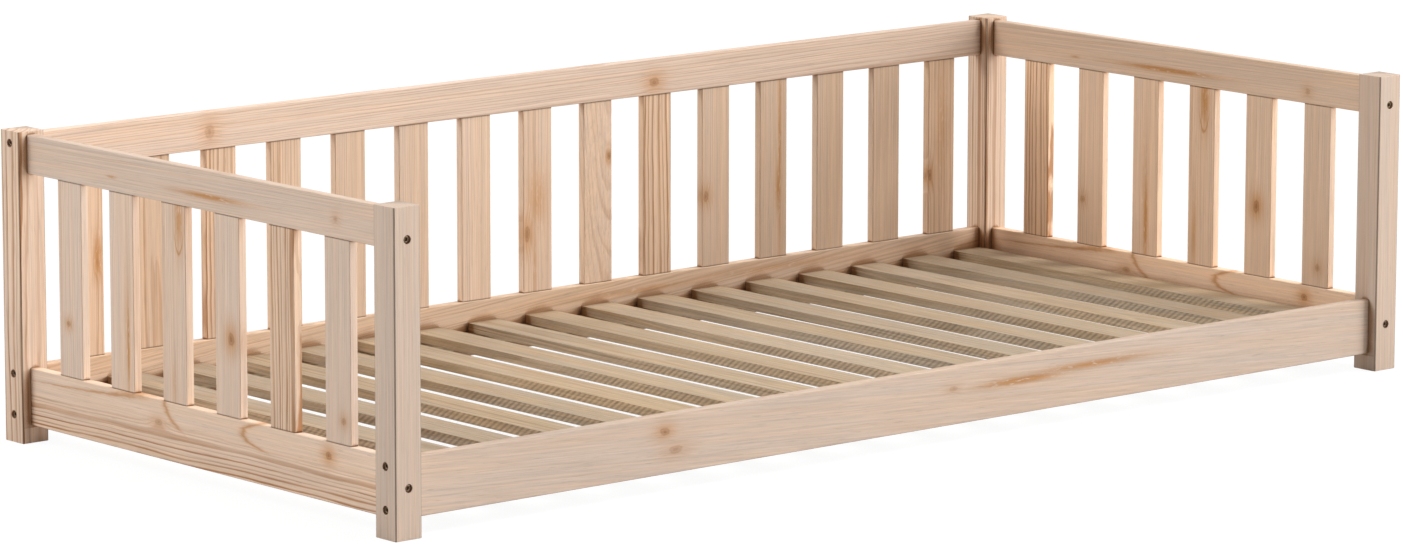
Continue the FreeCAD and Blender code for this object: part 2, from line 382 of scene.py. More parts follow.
class Face:
    """A board's own directions: along its grain, across its wide face, and through it."""

    def __init__(self, low, high, *axes):
        self.axes = axes
        self.origin = (low + high) / 2
        half = (high - low) / 2
        for axis in axes:
            self.origin -= axis * sum(abs(part) * size for part, size in zip(axis, half))

    def place(self, point):
        """Millimetres along, across and through the board."""
        offset = point - self.origin
        return tuple(offset.dot(axis) / MM for axis in self.axes)


class Mark:
    """Something in the wood: its middle, its half length and half width, and how dark it is."""
    kind = 0

    def __init__(self, along, across, length, width, dark):
        self.along, self.across = along, across
        self.length, self.width = length, width
        self.value = 2 * self.kind + dark


class Knot(Mark):
    """A knot, round which the rings bend."""


class Streak(Mark):
    """A stain of resin along the grain."""
    kind = 1


class Flame(Mark):
    """The pointed end of a ring that the saw met at a slant. A negative length turns it round."""
    kind = 2


class Sawn:
    """How a board lay in its log, in millimetres and in the board's own directions.

    pith is the log's middle, across and through the board, and ring the width of a year's growth.
    lines is the strength of the ring lines, or one for each side of the board. warmth runs from
    rose to straw. shade is the board's own brightness; a pair, one for each end, paints it
    brighter at one end than the other, as painted light and shade along the board. drift is how
    far the pith shifts over a metre of board, and start shifts the pattern along the log.
    """

    def __init__(self, pith, ring, lines, warmth, shade, *marks, drift=(0, 0), start=0.0):
        self.pith, self.ring, self.lines = pith, ring, lines
        self.warmth, self.shade, self.marks = warmth, shade, marks
        self.drift, self.start = drift, start


def pair(value):
    return value if isinstance(value, tuple) else (value, value)


MARKS_PER_BOARD = 5
FAR_AWAY = (90.0, 90.0, 0.0)


def dress(piece, face, sawn):
    """Writes where each point of a board lay in its log, and how it lies to each mark."""
    mesh = piece.data
    places = [face.place(vertex.co) for vertex in mesh.vertices]
    grain = []
    for along, across, through in places:
        metres = along * MM
        out = (across - sawn.pith[0] + sawn.drift[0] * metres) / sawn.ring
        deep = (through - sawn.pith[1] + sawn.drift[1] * metres) / sawn.ring
        grain.append((metres + sawn.start, out, deep))
    write_vectors(mesh, "grain", grain)
    near, far = pair(sawn.lines)
    # A pair of shades paints a brightness gradient along the board: painted light and shade.
    first, last = pair(sawn.shade)
    long = max(along for along, across, through in places)
    wide = max(across for along, across, through in places)
    write_vectors(mesh, "board", [
        (near + (far - near) * across / wide, sawn.warmth, first + (last - first) * along / long)
        for along, across, through in places])
    for number in range(MARKS_PER_BOARD):
        values = [FAR_AWAY] * len(places)
        if number < len(sawn.marks):
            mark = sawn.marks[number]
            values = [
                ((along - mark.along) / mark.length, (across - mark.across) / mark.width,
                 mark.value) for along, across, through in places]
        write_vectors(mesh, f"mark_{number + 1}", values)
    if "edge" not in mesh.attributes:
        write_numbers(mesh, "edge", [0.0] * len(places))


def mark_ends(piece, axis, low, high, sizes, painted_light_sides=(), painted_light=0.22):
    """Notes a board's ends for painted shade, where its joints keep the light out, and its sides
    that are painted paler, as painted light.
    """
    reach = END_SHADE * sizes.end_edge

    def darkness(point):
        if min(point.dot(axis) - low.dot(axis), high.dot(axis) - point.dot(axis)) < reach:
            return 1.0
        # Painted light: these sides are painted paler, to look more brightly lit.
        for side in painted_light_sides:
            if point.dot(side) > max(low.dot(side), high.dot(side)) - SKIN:
                return -painted_light
        return 0.0

    write_numbers(piece.data, "edge", [darkness(vertex.co) for vertex in piece.data.vertices])


def write_vectors(mesh, name, vectors):
    layer = mesh.attributes.new(name, "FLOAT_VECTOR", "POINT")
    layer.data.foreach_set("vector", [value for vector in vectors for value in vector])


def write_numbers(mesh, name, numbers):
    layer = mesh.attributes.new(name, "FLOAT", "POINT")
    layer.data.foreach_set("value", numbers)


# Pith, ring and lines that boards from one log share, and the marks of both low end rails.
END_BOTTOM = ((-70, -30), 7.2, (-0.7, 1.6))
END_TOP = ((-170, 30), 5.0, (0.35, 0.12))
STRIPED = (8.5, 0.95)
END_FLAMES = (Knot(755, 20, 9, 8, 0.95), Flame(-400, 0, -675, 23, 0.75),
              Flame(700, 18, 155, 27, 0.85), Flame(470, -8, 122, 62, 0.75))

# A pair of shades paints a board brighter at one end, as painted light: at the tops of the front
# posts, and at the left of the front and back rails.
BOARDS = {
    "front_rail": Sawn(
        (-260, 60), 7.0, (0.16, 0.10), 0.20, (0.92, 0.84), Knot(470, 25, 12, 8, 0.80),
        Knot(491, 55, 17, 8, 0.50), Streak(1200, 37, 75, 5.5, 0.90),
        Streak(1350, 30, 100, 5.5, 0.75), Knot(1055, 33, 12, 5, 0.40), drift=(-52, 14)),
    "back_bottom_rail": Sawn(
        (-150, -30), 8.0, 0.40, 0.75, (1.05, 0.96), Streak(1210, 22, 130, 5, 0.45),
        Streak(1500, 16, 160, 6, 0.40), drift=(90, 0)),
    "back_top_rail": Sawn(
        (-190, 20), 4.6, 0.50, 0.10, (1.33, 1.01), Knot(325, 32, 12, 15, 0.55),
        Knot(1238, 39, 13, 10, 0.80), drift=(10, 0)),
    "left_end_bottom_rail": Sawn(
        *END_BOTTOM, 0.40, 1.20, *END_FLAMES, Knot(335, 34, 12, 6, 0.55), drift=(6, 0)),
    "right_end_bottom_rail": Sawn(
        *END_BOTTOM, 0.75, 1.24, *END_FLAMES, Knot(335, 30, 12, 6, 0.65), drift=(6, 0)),
    "left_end_top_rail": Sawn(
        *END_TOP, 0.22, 1.05, Streak(470, 38, 72, 4, 0.85), Knot(776, 32, 6, 6, 0.45),
        Streak(222, 38, 10, 2, 0.6), drift=(16, 0)),
    "right_end_top_rail": Sawn(
        *END_TOP, 0.55, 1.0, Streak(425, 40, 95, 4, 0.95), Knot(755, 40, 7, 7, 0.50),
        Streak(205, 41, 10, 2, 0.6), drift=(16, 0)),
    "back_left_post": Sawn((-60, 100), 8.5, (1.0, 0.15), 0.35, 1.20),
    "front_left_post": Sawn((-110, 60), 3.6, 0.22, 0.15, (0.95, 0.88)),
    "front_right_post": Sawn((140, 60), 4.0, 0.20, 0.15, (0.93, 0.85)),
    "back_right_post": Sawn((-60, -70), 6.0, (0.85, 0.30), 0.50, 1.07),
    "left_end_slat_6": Sawn((-90, 10), 5.5, 0.30, 0.20, 1.15, Knot(220, 24, 6, 6, 0.75)),
    "left_end_slat_5": Sawn(
        (-120, 10), 5.0, 0.25, 0.28, 1.16, Streak(232, 46, 62, 3, 0.95),
        Streak(200, 44, 90, 7, 0.35)),
    "left_end_slat_4": Sawn(
        (-100, 10), 6.0, 0.25, 0.38, 1.11, Flame(-14, 44, -88, 15, 0.95),
        Streak(20, 45, 48, 10, 0.70), Streak(272, 29, 36, 5, 0.35)),
    "left_end_slat_3": Sawn((-130, 10), 4.5, 0.22, 0.15, 1.10, Knot(186, 39, 13, 9, 0.95)),
    "left_end_slat_2": Sawn((-95, 8), *STRIPED, 0.60, 1.06),
    "left_end_slat_1": Sawn((-120, 10), 4.5, 0.15, 0.15, 1.02, Knot(268, 43, 7, 6, 0.65)),
    "right_end_slat_6": Sawn((-60, 10), *STRIPED, 0.85, 1.23),
    "right_end_slat_5": Sawn((-90, 10), 5.0, 0.35, 0.70, 1.13, Knot(225, 13, 8, 7, 0.60)),
    "right_end_slat_4": Sawn(
        (-110, 10), 5.0, 0.35, 0.68, 1.14, Streak(240, 33, 62, 4, 1.0),
        Streak(205, 31, 95, 8, 0.40)),
    "right_end_slat_3": Sawn(
        (-100, 10), 6.0, 0.30, 0.75, 1.09, Flame(-14, 36, -88, 15, 0.95),
        Streak(20, 37, 48, 10, 0.80), Streak(250, 15, 60, 5, 0.55)),
    "right_end_slat_2": Sawn((-130, 10), 4.5, 0.25, 0.60, 1.08, Knot(186, 27, 13, 9, 1.0)),
    "right_end_slat_1": Sawn((-120, 10), 4.5, 0.20, 0.55, 1.00, Knot(271, 36, 8, 7, 0.55)),
    "back_slat_01": Sawn(
        (30, -60), 4.5, 0.45, 0.75, 1.12, Streak(149, 49, 32, 7, 0.85), Knot(156, 49, 9, 4, 0.35)),
    "back_slat_03": Sawn((-70, 10), 9.0, (1.0, 0.5), 0.75, 1.12),
    "back_slat_04": Sawn((-90, 10), 6.0, 0.55, 0.70, 1.12),
    "back_slat_05": Sawn((-110, 10), 5.0, 0.40, 0.60, 1.08),
    "back_slat_06": Sawn((-120, 10), 5.0, 0.35, 0.45, 1.09),
    "back_slat_07": Sawn((-140, 10), 6.0, 0.40, 0.45, 1.17),
    "back_slat_08": Sawn(
        (-100, 10), 7.0, 0.35, 0.50, 1.15, Knot(205, 8, 18, 7, 0.85), Streak(149, 29, 40, 17, 0.50),
        Streak(250, 24, 60, 5, 0.35)),
    "back_slat_09": Sawn(
        (60, -25), 7.5, 0.30, 0.50, 1.12, Knot(93, 54, 8, 5, 0.90), drift=(0, 130)),
    "back_slat_10": Sawn((-80, 10), 9.5, 1.0, 0.75, 1.08),
    "back_slat_11": Sawn((-110, 10), 5.0, 0.35, 0.58, 1.0, Knot(183, 8, 11, 7, 0.75)),
    "back_slat_12": Sawn(
        (-130, 10), 6.0, 0.20, 0.72, 0.90, Streak(120, 44, 160, 3, 0.75),
        Streak(185, 41, 36, 5, 0.80)),
    "back_slat_13": Sawn((-120, 10), 5.0, 0.35, 0.70, 0.91),
    "back_slat_14": Sawn((-120, 10), 4.5, 0.35, 0.68, 0.91),
    "back_slat_15": Sawn(
        (-60, 10), 7.0, 0.45, 0.85, 1.03, Knot(200, 4, 14, 6, 0.85), Streak(120, 30, 90, 12, 0.35)),
}


def sawn_like(node, wide):
    """How a board was sawn, from the list above or drawn from its name."""
    if node in BOARDS:
        return BOARDS[node]
    draw = random.Random(node)
    pith_beside = draw.random() < 0.6
    if pith_beside:
        pith = (-draw.uniform(70, 160), draw.uniform(-10, 30))
    else:
        pith = (draw.uniform(0.2, 0.8) * wide, -draw.uniform(30, 80))
    stain = Streak(
        draw.uniform(100, 800), draw.uniform(10, 50), draw.uniform(60, 160), draw.uniform(3, 8),
        0.15)
    return Sawn(
        pith, draw.uniform(4.5, 8.5), draw.uniform(0.35, 0.7), draw.uniform(0.2, 0.8),
        draw.uniform(0.94, 1.06), stain, drift=(draw.uniform(-20, 20), draw.uniform(-40, 40)),
        start=draw.uniform(0, 40))


# ---- Materials ---------------------------------------------------------------------------------

class Graph:
    """Short words for building a node tree."""

    def __init__(self, tree):
        self.tree = tree

    def feed(self, socket, value):
        if isinstance(value, bpy.types.NodeSocket):
            self.tree.links.new(value, socket)
        else:
            socket.default_value = value

    def fill(self, node, **inputs):
        """Feeds a node's inputs by name, with values or with other nodes' sockets."""
        for name, value in inputs.items():
            self.feed(node.inputs[name.replace("_", " ")], value)
        return node

    def add(self, kind, settings=None, **inputs):
        """A node, with its settings and its inputs."""
        node = self.tree.nodes.new("ShaderNode" + kind)
        for name, value in (settings or {}).items():
            setattr(node, name, value)
        return self.fill(node, **inputs)

    def maths(self, operation, *values, clamp=False):
        node = self.add("Math", {"operation": operation, "use_clamp": clamp})
        for socket, value in zip(node.inputs, values):
            self.feed(socket, value)
        return node.outputs["Value"]

    def fold(self, operation, result, *others, clamp=False):
        """One operation over all the values in turn. A clamp holds for the last step alone."""
        for number, value in enumerate(others, 1):
            result = self.maths(operation, result, value, clamp=clamp and number == len(others))
        return result

    def times(self, *values, clamp=False):
        return self.fold("MULTIPLY", *values, clamp=clamp)

    def plus(self, *values, clamp=False):
        return self.fold("ADD", *values, clamp=clamp)

    def most(self, *values):
        return self.fold("MAXIMUM", *values)

    def plus_share(self, start, value, share):
        """A start, and a share of a value on top of it."""
        return self.maths("MULTIPLY_ADD", value, share, start)

    def vector(self, x=0.0, y=0.0, z=0.0):
        return self.add("CombineXYZ", X=x, Y=y, Z=z).outputs["Vector"]

    def parts(self, vector):
        node = self.add("SeparateXYZ", Vector=vector)
        return node.outputs["X"], node.outputs["Y"], node.outputs["Z"]

    def length(self, x=0.0, y=0.0, z=0.0):
        node = self.add("VectorMath", {"operation": "LENGTH"}, Vector=self.vector(x, y, z))
        return node.outputs["Value"]

    def scaled(self, colour, share):
        node = self.add("VectorMath", {"operation": "SCALE"}, Vector=colour, Scale=share)
        return node.outputs["Vector"]

    def place(self):
        """Where a point is in the bed."""
        return self.add("TexCoord").outputs["Object"]

    def attribute(self, name, output="Vector"):
        return self.add("Attribute", {"attribute_name": name}).outputs[output]

    def noise(self, vector, scale, detail=2.0):
        return self.add("TexNoise", Vector=vector, Scale=scale, Detail=detail).outputs["Fac"]

    def swing(self, noise, size):
        """A noise turned into a swing about nought."""
        return self.times(self.maths("SUBTRACT", noise, 0.5), size)

    def step(self, value, start, end, low=0.0, high=1.0):
        """A soft step from low to high while a value runs from start to end."""
        node = self.add("MapRange", {"interpolation_type": "SMOOTHSTEP"}, Value=value)
        self.fill(node, From_Min=start, From_Max=end, To_Min=low, To_Max=high)
        return node.outputs["Result"]

    def mix(self, share, first, second, blend="MIX"):
        node = self.add("Mix", {"data_type": "RGBA", "blend_type": blend}, Factor=share)
        colours = [socket for socket in node.inputs if socket.type == "RGBA"]
        self.feed(colours[0], first)
        self.feed(colours[1], second)
        return next(socket for socket in node.outputs if socket.type == "RGBA")

    def bump(self, height, strength, distance):
        node = self.add("Bump", Height=height, Strength=strength, Distance=distance)
        return node.outputs["Normal"]


def new_group(name, inputs, outputs):
    """An empty node group with named sockets: its graph, what it is given, and its output node."""
    tree = bpy.data.node_groups.new(name, "ShaderNodeTree")
    for label, kind, value in inputs:
        socket = tree.interface.new_socket(label, in_out="INPUT", socket_type="NodeSocket" + kind)
        socket.default_value = value
    for label, kind in outputs:
        tree.interface.new_socket(label, in_out="OUTPUT", socket_type="NodeSocket" + kind)
    return Graph(tree), tree.nodes.new("NodeGroupInput").outputs, tree.nodes.new("NodeGroupOutput")


def mark_group():
    """One mark: how it bends the rings, and how strong its knot, resin and drawn ring are."""
    graph, given, made = new_group(
        "mark", [("Place", "Vector", FAR_AWAY), ("Ragged", "Float", 0.5)],
        [("Push", "Float"), ("Core", "Float"), ("Resin", "Float"), ("Line", "Float")])
    along, across, value = graph.parts(given["Place"])
    kind = graph.maths("FLOOR", graph.times(value, 0.4999))
    dark = graph.maths("SUBTRACT", value, graph.times(kind, 2.0))
    knot, streak, flame = (
        graph.maths("COMPARE", kind, float(mark.kind), 0.1) for mark in (Knot, Streak, Flame))
    apart = graph.length(along, across)
    rough = graph.swing(given["Ragged"], 1.0)
    ragged = graph.plus_share(apart, rough, 0.8)

    def bell(distance, sharpness):
        """1 where a distance is nought, and less the further off it is."""
        return graph.maths("EXPONENT", graph.times(distance, distance, -sharpness))

    # A knot has a few dark rings of its own and a halo of resin. A stain is patchy.
    rings = graph.plus_share(0.75, graph.maths("SINE", graph.times(ragged, 11.0)), 0.25)
    core = graph.times(graph.step(ragged, 0.95, 0.45), rings, dark, knot)
    halo = graph.times(bell(ragged, 0.26), dark, knot)
    patchy = graph.step(given["Ragged"], 0.22, 0.50)
    stain = graph.times(bell(ragged, 0.7), dark, streak, patchy, 1.5)
    # A flame is the outline of a long oval, drawn at its tip alone, with a softer glow beside it.
    tip = graph.step(graph.plus_share(along, rough, 0.2), -0.50, -0.78)
    outline = graph.maths("SUBTRACT", graph.plus_share(apart, rough, 0.10), 1.0)
    drawn = graph.times(bell(outline, 1100.0), dark, flame, tip, 0.8)
    glow = graph.times(bell(outline, 220.0), dark, flame, tip, 0.75)
    graph.fill(
        made, Push=graph.times(bell(apart, 0.30), knot), Core=core,
        Resin=graph.most(halo, stain, glow), Line=drawn)
    return graph.tree


PAINTED_SHADE_IN_CORNERS = (0.57, 0.43, 0.31, 1.0)     # painted shade: what the shade in a corner between boards leaves of their colour
CORNER_REACH = 50 * MM                    # how far off a board may be and still close a corner
CORNER_OPEN = (0.68, 0.55)                # open share of a point's outlook: no painted shade, full painted shade
FLOOR_LEVEL = (27 * MM, 22 * MM)          # heights between which the painted shade fades out to the floor
AS_PLACED = 1.0                           # scale of a noise whose place is already scaled


def painted_corner_shade(graph):
    """Painted shade: 1 in the corners between boards, where little light comes. 0 in the open and
    at the floor.
    """
    outlook = graph.add("AmbientOcclusion", {"samples": 16}, Distance=CORNER_REACH).outputs["AO"]
    at_floor = graph.step(graph.parts(graph.place())[2], *FLOOR_LEVEL)
    return graph.step(graph.most(outlook, at_floor), *CORNER_OPEN)


def pine_group():
    """Sawn pine, read from where each point lay in its log, with painted shade in its corners."""
    graph, given, made = new_group(
        "pine", [(label, "Color", (0.6, 0.5, 0.4, 1.0))
                 for label in ("Cool", "Warm", "Late Wood", "Resin", "Knot")]
        + [("Fibre", "Float", 1.0), ("Mottle", "Float", 1.0)],
        [("Color", "Color"), ("Roughness", "Float"), ("Height", "Float")])
    along, out, deep = graph.parts(graph.attribute("grain"))
    lines, warmth, shade = graph.parts(graph.attribute("board"))

    def log_noise(along_scale, across_scale, detail=2.0):
        """Noise in the log, with its number of waves along a metre and across a ring."""
        place = graph.vector(
            graph.times(along, along_scale), graph.times(out, across_scale),
            graph.times(deep, across_scale))
        return graph.noise(place, AS_PLACED, detail)

    ragged = log_noise(60.0, 1.6, 3.0)
    mark_tree = mark_group()
    marks = [
        graph.add(
            "Group", {"node_tree": mark_tree}, Place=graph.attribute(f"mark_{number + 1}"),
            Ragged=ragged).outputs
        for number in range(MARKS_PER_BOARD)]

    def strongest(label):
        return graph.most(*(mark[label] for mark in marks))

    # The rings: how many years from the pith, swaying along the log and pushed out by knots.
    sway = graph.swing(log_noise(2.2, 0.14), 2.2)
    waver = graph.swing(log_noise(13.0, 0.5), 0.45)
    ring = graph.plus(graph.length(0.0, out, deep), sway, waver)
    for mark in marks:
        ring = graph.plus_share(ring, mark["Push"], 1.3)
    years = graph.add("TexNoise", {"noise_dimensions": "1D"}, W=ring, Scale=0.45, Detail=1.0)
    ring = graph.plus(ring, graph.swing(years.outputs["Fac"], 2.0))

    # The lines: the summer wood of each year, after a faint rise in spring, and no two years alike.
    season = graph.maths("FRACT", ring)
    lucky = graph.add("TexWhiteNoise", {"noise_dimensions": "1D"}, W=graph.maths("FLOOR", ring))
    each_year = graph.plus_share(0.55, lucky.outputs["Value"], 0.55)
    summer = graph.times(graph.step(season, 0.48, 0.80), graph.step(season, 1.0, 0.92))
    spring = graph.step(season, 0.15, 0.90, 0.0, 0.30)
    patchy = graph.step(log_noise(7.0, 0.8), 0.30, 0.60, 0.60, 1.0)
    line = graph.times(
        graph.most(summer, spring), each_year, graph.times(lines, patchy), clamp=True)
    line = graph.most(line, strongest("Line"))

    wide_mottle = graph.swing(log_noise(1.6, 0.22, 3.0), 1.1)
    narrow_mottle = graph.swing(log_noise(5.0, 1.1), 1.0)
    mottle = graph.times(graph.plus(wide_mottle, narrow_mottle), given["Mottle"])
    wood = graph.mix(graph.plus(warmth, mottle, clamp=True), given["Cool"], given["Warm"])
    wood = graph.mix(line, wood, given["Late Wood"])
    wood = graph.mix(graph.times(strongest("Resin"), 0.90, clamp=True), wood, given["Resin"])
    wood = graph.mix(graph.times(strongest("Core"), 0.85), wood, given["Knot"])
    # Painted shade in the corners between boards, where little light comes.
    wood = graph.mix(painted_corner_shade(graph), wood, PAINTED_SHADE_IN_CORNERS, "MULTIPLY")

    # How light it is: broad streaks and fine fibres, with short dark flecks.
    fibre = log_noise(12.0, 6.5, 4.0)
    fleck = graph.step(log_noise(30.0, 5.0, 1.0), 0.64, 0.74)
    light = graph.plus(graph.swing(log_noise(5.0, 2.2), 0.40), graph.swing(fibre, 0.40))
    light = graph.plus_share(graph.plus_share(1.0, light, given["Fibre"]), fleck, -0.16)
    rough = graph.plus(graph.swing(fibre, 0.3), 0.56)
    height = graph.plus_share(graph.times(fibre, 0.7), line, 0.4)
    # The board's shade, with the painted light and shade of its gradient along the board.
    graph.fill(
        made, Color=graph.scaled(wood, graph.times(light, shade)),
        Roughness=graph.plus_share(rough, line, -0.12),
        Height=graph.plus_share(height, fleck, -0.3))
    return graph.tree


def saw_group():
    """Coarse saw marks: 1 in the bottom of each mark."""
    graph, given, made = new_group(
        "saw", [("Place", "Vector", (0.0, 0.0, 0.0))], [("Depth", "Float")])
    phase, up, strength = graph.parts(given["Place"])
    tooth = graph.maths("FRACT", phase)
    uneven = graph.noise(graph.vector(graph.times(phase, 0.9), graph.times(up, 1.5)), AS_PLACED)
    graph.fill(made, Depth=graph.times(
        graph.step(tooth, 0.08, 0.42), graph.step(tooth, 0.92, 0.52),
        graph.step(uneven, 0.25, 0.65, 0.45, 1.0), strength, clamp=True))
    return graph.tree


def shared(graph, name, make, **inputs):
    """Places a shared node group, which is built when it is first asked for."""
    tree = bpy.data.node_groups.get(name) or make()
    return graph.add("Group", {"node_tree": tree}, **inputs).outputs


def empty_graph(owner):
    """The emptied node tree of a material or a world."""
    owner.use_nodes = True
    owner.node_tree.nodes.clear()
    return Graph(owner.node_tree)


def new_material(name):
    """A material, its graph and its shader."""
    material = bpy.data.materials.new(name)
    graph = empty_graph(material)
    shader = graph.add("BsdfPrincipled")
    graph.add("OutputMaterial", Surface=shader.outputs["BSDF"])
    return material, graph, shader


def opaque(colour):
    return (*colour, 1.0)


JOINT_SHADE = 0.50        # painted shade: how much darker wood is painted in a joint and on a post's rounded edges; a negative note paints a side paler, as painted light
SAW_SHADE = 0.34          # how much darker wood is painted in the bottom of a saw mark, as painted shade


def pine(name, colours, cool, warm, late, fibre, mottle, relief, sawn_sides=False):
    """A wooden finish, with painted shade in the joints, on the posts' rounded edges and in the saw
    marks, and painted light on paler sides.
    """
    material, graph, shader = new_material(name)
    wood = shared(
        graph, "pine", pine_group, Cool=opaque(cool), Warm=opaque(warm), Late_Wood=opaque(late),
        Resin=opaque(colours.resin), Knot=opaque(colours.knot), Fibre=fibre, Mottle=mottle)
    # Painted shade in the joints and on the posts' rounded edges, and painted light on the paler
    # sides, from the notes in the edge attribute.
    shadow = graph.plus_share(1.0, graph.attribute("edge", "Fac"), -JOINT_SHADE)
    height = graph.times(wood["Height"], relief)
    if sawn_sides:
        # Painted shade in the bottom of each saw mark, with its bump.
        deep = shared(graph, "saw", saw_group, Place=graph.attribute("saw"))["Depth"]
        shadow = graph.times(shadow, graph.plus_share(1.0, deep, -SAW_SHADE))
        height = graph.plus_share(height, deep, -0.5)
    graph.fill(
        shader, Base_Color=graph.scaled(wood["Color"], shadow), Roughness=wood["Roughness"],
        Normal=graph.bump(height, 0.6, MM), Specular_IOR_Level=0.25)
    return material


def plated(name, colour, dull):
    """Plated steel with worn high spots and dull hollows."""
    material, graph, shader = new_material(name)
    place = graph.place()
    scratch = graph.noise(place, 4000.0, 1.0)
    worn = graph.step(graph.noise(place, 900.0, 3.0), 0.50, 0.72)
    bright = (min(1.0, part * 1.9) for part in colour)
    graph.fill(
        shader, Base_Color=graph.mix(worn, opaque(colour), opaque(bright)), Metallic=1.0,
        Roughness=graph.plus_share(dull, scratch, 0.25), Normal=graph.bump(scratch, 0.3, 0.03 * MM))
    return material


def finish(name):
    """A finish of the bed, made when it is first asked for."""
    if name in bpy.data.materials:
        return bpy.data.materials[name]
    colours = bpy.context.scene.bed_finishes
    if name == "planed_pine":
        return pine(
            name, colours, colours.rose, colours.straw, colours.late, fibre=1.0, mottle=0.8,
            relief=0.12)
    if name == "sawn_pine":
        return pine(
            name, colours, colours.deck_cool, colours.deck_warm, colours.deck_late, fibre=1.7,
            mottle=2.2, relief=0.30, sawn_sides=True)
    if name == "bronze_plate":
        return plated(name, colours.bronze, dull=0.30)
    return plated(name, colours.zinc, dull=0.32)


def coat(piece, name):
    piece.data.materials.clear()
    piece.data.materials.append(finish(name))


# ---- Pieces ------------------------------------------------------------------------------------

BACK_SLATS = 15
END_SLATS = 6
DECK_SLATS = 17
SCREW_RECESS = 3.85 * MM          # radius of the hole that a screw's head lies in
NEARBY = 5 * MM                   # how far outside a board's box its own screws and bolts may start


def separate_shapes(node):
    """The two corners of each separate shape in a node of the frame."""
    copied = bmesh.new()
    copied.from_mesh(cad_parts[node].data)
    bmesh.ops.remove_doubles(copied, verts=copied.verts, dist=0.001 * MM)
    left = set(copied.verts)
    found = []
    while left:
        island, edge = set(), [left.pop()]
        while edge:
            vertex = edge.pop()
            island.add(vertex)
            near = {link.other_vert(vertex) for link in vertex.link_edges} & left
            left -= near
            edge.extend(near)
        places = list(zip(*(vertex.co for vertex in island)))
        found.append((Vector(map(min, places)), Vector(map(max, places))))
    copied.free()
    return found


def in_order(found):
    """Sorts what was found by its place, which comes first in each."""
    return sorted(found, key=lambda item: tuple(round(value, 4) for value in item[0]))


def bolts():
    """Start, direction and length of each connector bolt, read from the frame."""
    found = []
    for low, high in separate_shapes("connector_bolts"):
        size, middle = high - low, (low + high) / 2
        axis = X if size.x > size.y else Y
        inward = -axis if middle.dot(axis) > 0 else axis
        length = size.dot(axis)
        found.append((middle - inward * (length / 2), inward, length))
    return in_order(found)


def bolt_pattern(sizes, length):
    """One bolt, its head at the origin and its shank along +Z."""
    head, shank, hexagon = sizes.head_radius, sizes.shank_radius, sizes.socket_radius
    crown, tip, over, rim = MM, 0.8 * MM, 0.2 * MM, 0.7 * MM
    bolt = turned("bolt", [
        (0, head - crown), (0.3 * crown, head - 0.3 * crown), (crown, head),
        (sizes.head_height, head), (sizes.head_height, shank), (length - tip, shank),
        (length, shank - tip)])
    mouth = turned("mouth", [(-over, hexagon + rim), (rim, hexagon - over)], vertices=24)
    socket = turned("socket", [(-MM, hexagon), (sizes.socket_depth, hexagon)], vertices=6)
    combine(bolt, mouth, socket)
    smooth(bolt)
    return bolt


def inside(low, high, point):
    return all(low[i] - NEARBY <= point[i] <= high[i] + NEARBY for i in range(3))


def recess_pattern(sizes, sunk, through):
    """What a bolt's recess and its hole take out of a post, with the mouth at the origin."""
    radius, hole = sizes.head_radius + sizes.head_play, sizes.shank_radius + sizes.shank_play
    rim, bottom = sizes.rim_chamfer, sunk + sizes.head_height
    return turned("recess", [
        (-rim, radius + 2 * rim), (rim, radius), (bottom, radius), (bottom, hole),
        (through, hole)], vertices=40)


def make_post(node, sizes, bolt_sizes, all_bolts):
    low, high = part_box(node)
    post = cut_board(node, low, high, Z, sizes.post_edge, sizes.end_edge, segments=4)
    tools = []
    for start, inward, length in all_bolts:
        if not inside(low, high, start):
            continue
        surface = min((low, high), key=lambda corner: abs((start - corner).dot(inward)))
        sunk = (start - surface).dot(inward)
        if not tools:
            pattern = recess_pattern(bolt_sizes, sunk, 2 * (high.x - low.x))
        tools.append(stand(pattern, start - inward * sunk, inward))
    bpy.data.objects.remove(pattern)
    combine(post, joined(tools))
    shade_rounds(post, low, high, sizes.post_edge)
    complete(post, node, Face(low, high, -Z, X, Y), (high.x - low.x) / MM)


def shade_rounds(post, low, high, radius):
    """Notes the rounded edges of a post, which show darker than its faces."""
    middle = (low + high) / 2
    half = high.x - middle.x
    edges = []
    for vertex in post.data.vertices:
        off_x, off_y = abs(vertex.co.x - middle.x), abs(vertex.co.y - middle.y)
        on_round = max(off_x, off_y) < half - TOUCHING and 2 * half - off_x - off_y < 1.05 * radius
        edges.append(1.0 if on_round else 0.0)
    write_numbers(post.data, "edge", edges)


def half_tenon(sizes, wide_axis):
    """Half the width and half the thickness of a slat's tenon."""
    thick_axis = Y if wide_axis == X else X
    return wide_axis * (sizes.tenon_width / 2) + thick_axis * (sizes.tenon_thickness / 2)


def core(node, half):
    """A block about the upright middle line of a node, as high as the node."""
    low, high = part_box(node)
    middle = (low + high) / 2
    return add_block(
        Vector((middle.x, middle.y, low.z)) - half, Vector((middle.x, middle.y, high.z)) + half)


def make_rail(node, axis, sizes, slats):
    """A rail between two posts, with a mortise for each slat's tenon."""
    low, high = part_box(node)
    rail = cut_board(node, low, high, axis, sizes.rail_edge, sizes.end_edge)
    room = Vector((sizes.joint_play, sizes.joint_play, sizes.mortise_spare))
    if slats:
        combine(rail, joined([core(slat, half_tenon(sizes, axis) + room) for slat in slats]))
    mark_ends(rail, axis, low, high, sizes)
    face = Face(low, high, X, -Z, Y) if axis == X else Face(low, high, -Y, -Z, X)
    complete(rail, node, face, (high.z - low.z) / MM)


def fence_rows():
    """Each run of fence: its nodes, the direction of its slats' width, and its two rails."""
    back = [f"back_slat_{number + 1:02d}" for number in range(BACK_SLATS)]
    yield back, X, "back_bottom_rail", "back_top_rail"
    for side in SIDES:
        nodes = [f"{side}_end_slat_{number + 1}" for number in range(END_SLATS)]
        yield nodes, Y, f"{side}_end_bottom_rail", f"{side}_end_top_rail"


